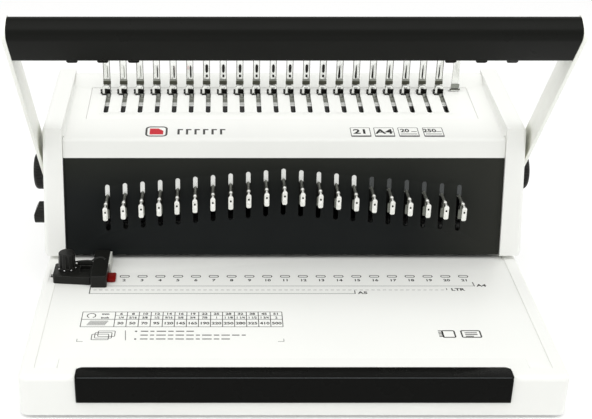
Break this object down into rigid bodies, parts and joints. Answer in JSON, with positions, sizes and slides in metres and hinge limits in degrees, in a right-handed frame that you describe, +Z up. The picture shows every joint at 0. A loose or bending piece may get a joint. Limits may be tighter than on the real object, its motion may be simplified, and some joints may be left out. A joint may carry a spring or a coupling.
{
  "type": "comb binding machine",
  "caption": "Manual comb binding machine: a lever punches holes in sheets through a slotted head, and hooks on top open the plastic comb; a drawer takes the chips.",
  "frame": {"origin": "on the ground, under the middle of the machine's bounding box", "axes": "+X to the user's right, +Y to the back, +Z up; the drawer and the paper table face -Y"},
  "size_m": [0.415, 0.308, 0.2578],
  "materials": {
    "base_white": "satin moulded shell",
    "table_white": "smooth satin paint",
    "zinc_sheet": "zinc-plated sheet",
    "foot_rubber": "dull",
    "screw_steel": "zinc-plated",
    "tray_black": "fine grain",
    "gloss_black": "smooth",
    "die_steel": "ground",
    "frame_steel": "plated",
    "bronze": "oiled",
    "bright_steel": "turned",
    "spring_steel": "drawn wire",
    "chrome_pin": "polished",
    "panel_black": "fine textured powder coat",
    "cover_white": "satin",
    "chrome_comb": "nickel plated",
    "arm_white": "smooth satin paint",
    "grip_black": "smooth satin",
    "knob_black": "fine grain",
    "guide_black": "smooth",
    "pointer_red": "smooth",
    "chrome_pull": "polished"
  },
  "bodies": {
    "housing": {"base_shell": "base_white", "table_plate": "table_white", "bottom_plate": "zinc_sheet", "rubber_feet": "foot_rubber", "case_screws": "screw_steel", "die_plate": "die_steel", "punch_guide": "die_steel", "side_frames": "frame_steel", "shaft_bushes": "bronze", "tie_bar": "frame_steel", "guide_posts": "bright_steel", "return_springs": "spring_steel", "front_panel": "panel_black", "top_cover": "cover_white", "comb_slot_plate": "cover_white", "comb_fingers": "chrome_comb", "side_covers": "cover_white", "rear_cover": "cover_white"},
    "lever": {"lever_arms": "arm_white", "lever_grip": "grip_black", "lever_crossbar": "frame_steel", "crossbar_screws": "screw_steel", "lever_shaft": "bright_steel", "lever_knobs": "knob_black", "punch_pinions": "bright_steel", "rake_sectors": "bright_steel"},
    "punch": {"punch_bar": "frame_steel", "punch_pins": "chrome_pin"},
    "rake": {"rake_plate": "chrome_comb", "comb_hooks": "chrome_comb"},
    "drawer": {"drawer_tray": "tray_black", "drawer_front": "gloss_black"},
    "guide": {"edge_guide": "guide_black", "edge_pointer": "pointer_red"},
    "guide_clamp": {"guide_knob": "knob_black", "guide_clamp_screw": "screw_steel"},
    "margin": {"margin_knob": "knob_black", "margin_crank": "frame_steel"},
    "stop": {"depth_stop": "frame_steel"},
    "pull_01": {"pin_pull_01": "chrome_pull"},
    "pull_02": {"pin_pull_02": "chrome_pull"},
    "pull_03": {"pin_pull_03": "chrome_pull"},
    "pull_04": {"pin_pull_04": "chrome_pull"},
    "pull_05": {"pin_pull_05": "chrome_pull"},
    "pull_06": {"pin_pull_06": "chrome_pull"},
    "pull_07": {"pin_pull_07": "chrome_pull"},
    "pull_08": {"pin_pull_08": "chrome_pull"},
    "pull_09": {"pin_pull_09": "chrome_pull"},
    "pull_10": {"pin_pull_10": "chrome_pull"},
    "pull_11": {"pin_pull_11": "chrome_pull"},
    "pull_12": {"pin_pull_12": "chrome_pull"},
    "pull_13": {"pin_pull_13": "chrome_pull"},
    "pull_14": {"pin_pull_14": "chrome_pull"},
    "pull_15": {"pin_pull_15": "chrome_pull"},
    "pull_16": {"pin_pull_16": "chrome_pull"},
    "pull_17": {"pin_pull_17": "chrome_pull"},
    "pull_18": {"pin_pull_18": "chrome_pull"},
    "pull_19": {"pin_pull_19": "chrome_pull"},
    "pull_20": {"pin_pull_20": "chrome_pull"},
    "pull_21": {"pin_pull_21": "chrome_pull"}
  },
  "joints": [
    {"name": "lever_swing", "type": "hinge", "parent": "housing", "child": "lever", "pos_m": [0, 0.0735, 0.089], "axis": [1, 0, 0], "range_deg": [0, 57], "stiffness_Nm_per_rad": 1.2, "springref_deg": -57.3},
    {"name": "punch_stroke", "type": "slide", "parent": "housing", "child": "punch", "axis": [0, 0, -1], "range_m": [0, 0.02], "deforming": ["return_springs"]},
    {"name": "rake_stroke", "type": "slide", "parent": "housing", "child": "rake", "axis": [0, -0.9949, -0.1011], "range_m": [0, 0.027]},
    {"name": "drawer_pull", "type": "slide", "parent": "housing", "child": "drawer", "axis": [0, -1, 0], "range_m": [0, 0.16]},
    {"name": "guide_slide", "type": "slide", "parent": "housing", "child": "guide", "axis": [1, 0, 0], "range_m": [-0.004, 0.012]},
    {"name": "guide_knob_turn", "type": "hinge", "parent": "guide", "child": "guide_clamp", "pos_m": [-0.1736, -0.01, 0.045], "axis": [0, 0, 1], "range_deg": [-90, 90]},
    {"name": "margin_turn", "type": "hinge", "parent": "housing", "child": "margin", "pos_m": [-0.2, 0.0485, 0.0624], "axis": [1, 0, 0], "range_deg": [-40, 40]},
    {"name": "stop_slide", "type": "slide", "parent": "housing", "child": "stop", "axis": [0, 1, 0], "range_m": [-0.002, 0.002]},
    {"name": "pull_01_slide", "type": "slide", "parent": "punch", "child": "pull_01", "axis": [0, -1, 0], "range_m": [0, 0.006]},
    {"name": "pull_02_slide", "type": "slide", "parent": "punch", "child": "pull_02", "axis": [0, -1, 0], "range_m": [0, 0.006]},
    {"name": "pull_03_slide", "type": "slide", "parent": "punch", "child": "pull_03", "axis": [0, -1, 0], "range_m": [0, 0.006]},
    {"name": "pull_04_slide", "type": "slide", "parent": "punch", "child": "pull_04", "axis": [0, -1, 0], "range_m": [0, 0.006]},
    {"name": "pull_05_slide", "type": "slide", "parent": "punch", "child": "pull_05", "axis": [0, -1, 0], "range_m": [0, 0.006]},
    {"name": "pull_06_slide", "type": "slide", "parent": "punch", "child": "pull_06", "axis": [0, -1, 0], "range_m": [0, 0.006]},
    {"name": "pull_07_slide", "type": "slide", "parent": "punch", "child": "pull_07", "axis": [0, -1, 0], "range_m": [0, 0.006]},
    {"name": "pull_08_slide", "type": "slide", "parent": "punch", "child": "pull_08", "axis": [0, -1, 0], "range_m": [0, 0.006]},
    {"name": "pull_09_slide", "type": "slide", "parent": "punch", "child": "pull_09", "axis": [0, -1, 0], "range_m": [0, 0.006]},
    {"name": "pull_10_slide", "type": "slide", "parent": "punch", "child": "pull_10", "axis": [0, -1, 0], "range_m": [0, 0.006]},
    {"name": "pull_11_slide", "type": "slide", "parent": "punch", "child": "pull_11", "axis": [0, -1, 0], "range_m": [0, 0.006]},
    {"name": "pull_12_slide", "type": "slide", "parent": "punch", "child": "pull_12", "axis": [0, -1, 0], "range_m": [0, 0.006]},
    {"name": "pull_13_slide", "type": "slide", "parent": "punch", "child": "pull_13", "axis": [0, -1, 0], "range_m": [0, 0.006]},
    {"name": "pull_14_slide", "type": "slide", "parent": "punch", "child": "pull_14", "axis": [0, -1, 0], "range_m": [0, 0.006]},
    {"name": "pull_15_slide", "type": "slide", "parent": "punch", "child": "pull_15", "axis": [0, -1, 0], "range_m": [0, 0.006]},
    {"name": "pull_16_slide", "type": "slide", "parent": "punch", "child": "pull_16", "axis": [0, -1, 0], "range_m": [0, 0.006]},
    {"name": "pull_17_slide", "type": "slide", "parent": "punch", "child": "pull_17", "axis": [0, -1, 0], "range_m": [0, 0.006]},
    {"name": "pull_18_slide", "type": "slide", "parent": "punch", "child": "pull_18", "axis": [0, -1, 0], "range_m": [0, 0.006]},
    {"name": "pull_19_slide", "type": "slide", "parent": "punch", "child": "pull_19", "axis": [0, -1, 0], "range_m": [0, 0.006]},
    {"name": "pull_20_slide", "type": "slide", "parent": "punch", "child": "pull_20", "axis": [0, -1, 0], "range_m": [0, 0.006]},
    {"name": "pull_21_slide", "type": "slide", "parent": "punch", "child": "pull_21", "axis": [0, -1, 0], "range_m": [0, 0.006]}
  ],
  "couplings": [
    {"joint": "punch_stroke", "follows": "lever_swing", "m_per_rad": 0.02},
    {"joint": "rake_stroke", "follows": "lever_swing", "m_per_rad": 0.027},
    {"joint": "margin_turn", "follows": "stop_slide", "rad_per_m": 349}
  ]
}
